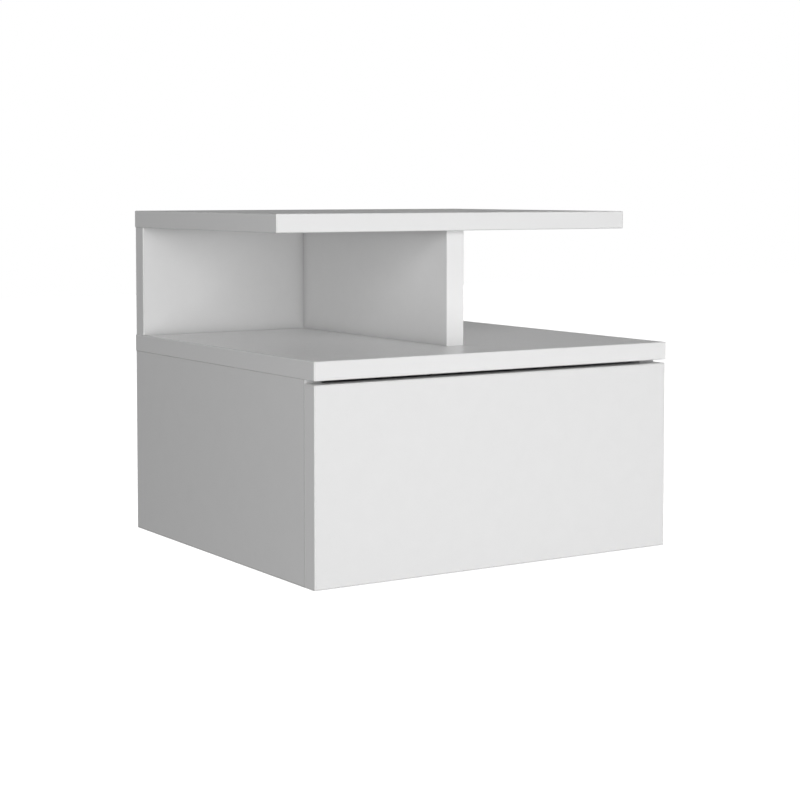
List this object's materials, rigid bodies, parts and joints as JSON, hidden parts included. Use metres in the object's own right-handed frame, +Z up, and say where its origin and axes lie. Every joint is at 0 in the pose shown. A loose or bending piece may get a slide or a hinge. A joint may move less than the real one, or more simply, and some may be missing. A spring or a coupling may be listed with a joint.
{
  "type": "floating nightstand",
  "caption": "Wall-hung nightstand in white laminated board: handleless drawer on roller runners, raised shelf on a back panel and divider, open niche below it.",
  "frame": {"origin": "middle of the wall rail's rear face, on the wall plane, where the cabinet is screwed to the wall", "axes": "+X to the right seen from the room, +Y towards the wall, +Z up; the drawer opens towards -Y"},
  "size_m": [0.345, 0.32, 0.285],
  "materials": {
    "melamine_board": "white melamine-faced chipboard with matching edge band, matt",
    "hardboard": "thin hardboard, white lacquer on the inner face",
    "coated_steel": "white epoxy-coated sheet steel",
    "nylon": "moulded nylon",
    "zinc_plated_steel": "bright zinc plating",
    "die_cast_zinc": "die-cast zinc, dull"
  },
  "bodies": {
    "cabinet": {"top_shelf": "melamine_board", "upper_back_panel": "melamine_board", "shelf_divider": "melamine_board", "cabinet_top": "melamine_board", "left_side_panel": "melamine_board", "right_side_panel": "melamine_board", "bottom_panel": "melamine_board", "wall_rail": "melamine_board", "cabinet_back": "hardboard", "cabinet_runner_left": "coated_steel", "cabinet_runner_right": "coated_steel", "cabinet_roller_rivet_left": "zinc_plated_steel", "cabinet_roller_rivet_right": "zinc_plated_steel", "side_cam_left_front": "die_cast_zinc", "side_cam_left_rear": "die_cast_zinc", "side_cam_right_front": "die_cast_zinc", "side_cam_right_rear": "die_cast_zinc", "side_cam_bolt_left_front": "zinc_plated_steel", "side_cam_bolt_left_rear": "zinc_plated_steel", "side_cam_bolt_right_front": "zinc_plated_steel", "side_cam_bolt_right_rear": "zinc_plated_steel", "bottom_cam_left": "die_cast_zinc", "bottom_cam_right": "die_cast_zinc", "bottom_cam_bolt_left": "zinc_plated_steel", "bottom_cam_bolt_right": "zinc_plated_steel", "rail_cam_left": "die_cast_zinc", "rail_cam_right": "die_cast_zinc", "rail_cam_bolt_left": "zinc_plated_steel", "rail_cam_bolt_right": "zinc_plated_steel", "divider_cam_front": "die_cast_zinc", "divider_cam_rear": "die_cast_zinc", "divider_cam_bolt_front": "zinc_plated_steel", "divider_cam_bolt_rear": "zinc_plated_steel", "back_panel_cam": "die_cast_zinc", "back_panel_cam_bolt": "zinc_plated_steel", "divider_screw_front": "zinc_plated_steel", "divider_screw_rear": "zinc_plated_steel", "back_panel_screw_left": "zinc_plated_steel", "back_panel_screw_right": "zinc_plated_steel", "runner_screw_left_front": "zinc_plated_steel", "runner_screw_left_rear": "zinc_plated_steel", "runner_screw_right_front": "zinc_plated_steel", "runner_screw_right_rear": "zinc_plated_steel"},
    "drawer": {"drawer_front": "melamine_board", "drawer_left_side": "melamine_board", "drawer_right_side": "melamine_board", "drawer_back": "melamine_board", "drawer_bottom": "hardboard", "drawer_runner_left": "coated_steel", "drawer_runner_right": "coated_steel", "drawer_roller_rivet_left": "zinc_plated_steel", "drawer_roller_rivet_right": "zinc_plated_steel", "drawer_front_cam_left": "die_cast_zinc", "drawer_front_cam_right": "die_cast_zinc", "drawer_front_cam_bolt_left": "zinc_plated_steel", "drawer_front_cam_bolt_right": "zinc_plated_steel"},
    "front_roller_left": {"cabinet_roller_left": "nylon"},
    "front_roller_right": {"cabinet_roller_right": "nylon"},
    "rear_roller_left": {"drawer_roller_left": "nylon"},
    "rear_roller_right": {"drawer_roller_right": "nylon"}
  },
  "joints": [
    {"name": "drawer_slide", "type": "slide", "parent": "cabinet", "child": "drawer", "axis": [0, -1, 0], "range_m": [0, 0.1897]},
    {"name": "front_roller_left_spin", "type": "hinge", "parent": "cabinet", "child": "front_roller_left", "pos_m": [-0.1512, -0.2881, -0.0973], "axis": [1, 0, 0], "continuous": true},
    {"name": "front_roller_right_spin", "type": "hinge", "parent": "cabinet", "child": "front_roller_right", "pos_m": [0.1512, -0.2881, -0.0973], "axis": [1, 0, 0], "continuous": true},
    {"name": "rear_roller_left_spin", "type": "hinge", "parent": "drawer", "child": "rear_roller_left", "pos_m": [-0.1512, -0.0649, -0.09945], "axis": [1, 0, 0], "continuous": true},
    {"name": "rear_roller_right_spin", "type": "hinge", "parent": "drawer", "child": "rear_roller_right", "pos_m": [0.1512, -0.0649, -0.09945], "axis": [1, 0, 0], "continuous": true}
  ],
  "couplings": [
    {"joint": "front_roller_left_spin", "follows": "drawer_slide", "rad_per_m": 117.65},
    {"joint": "front_roller_right_spin", "follows": "drawer_slide", "rad_per_m": 117.65},
    {"joint": "rear_roller_left_spin", "follows": "drawer_slide", "rad_per_m": 117.65},
    {"joint": "rear_roller_right_spin", "follows": "drawer_slide", "rad_per_m": 117.65}
  ]
}
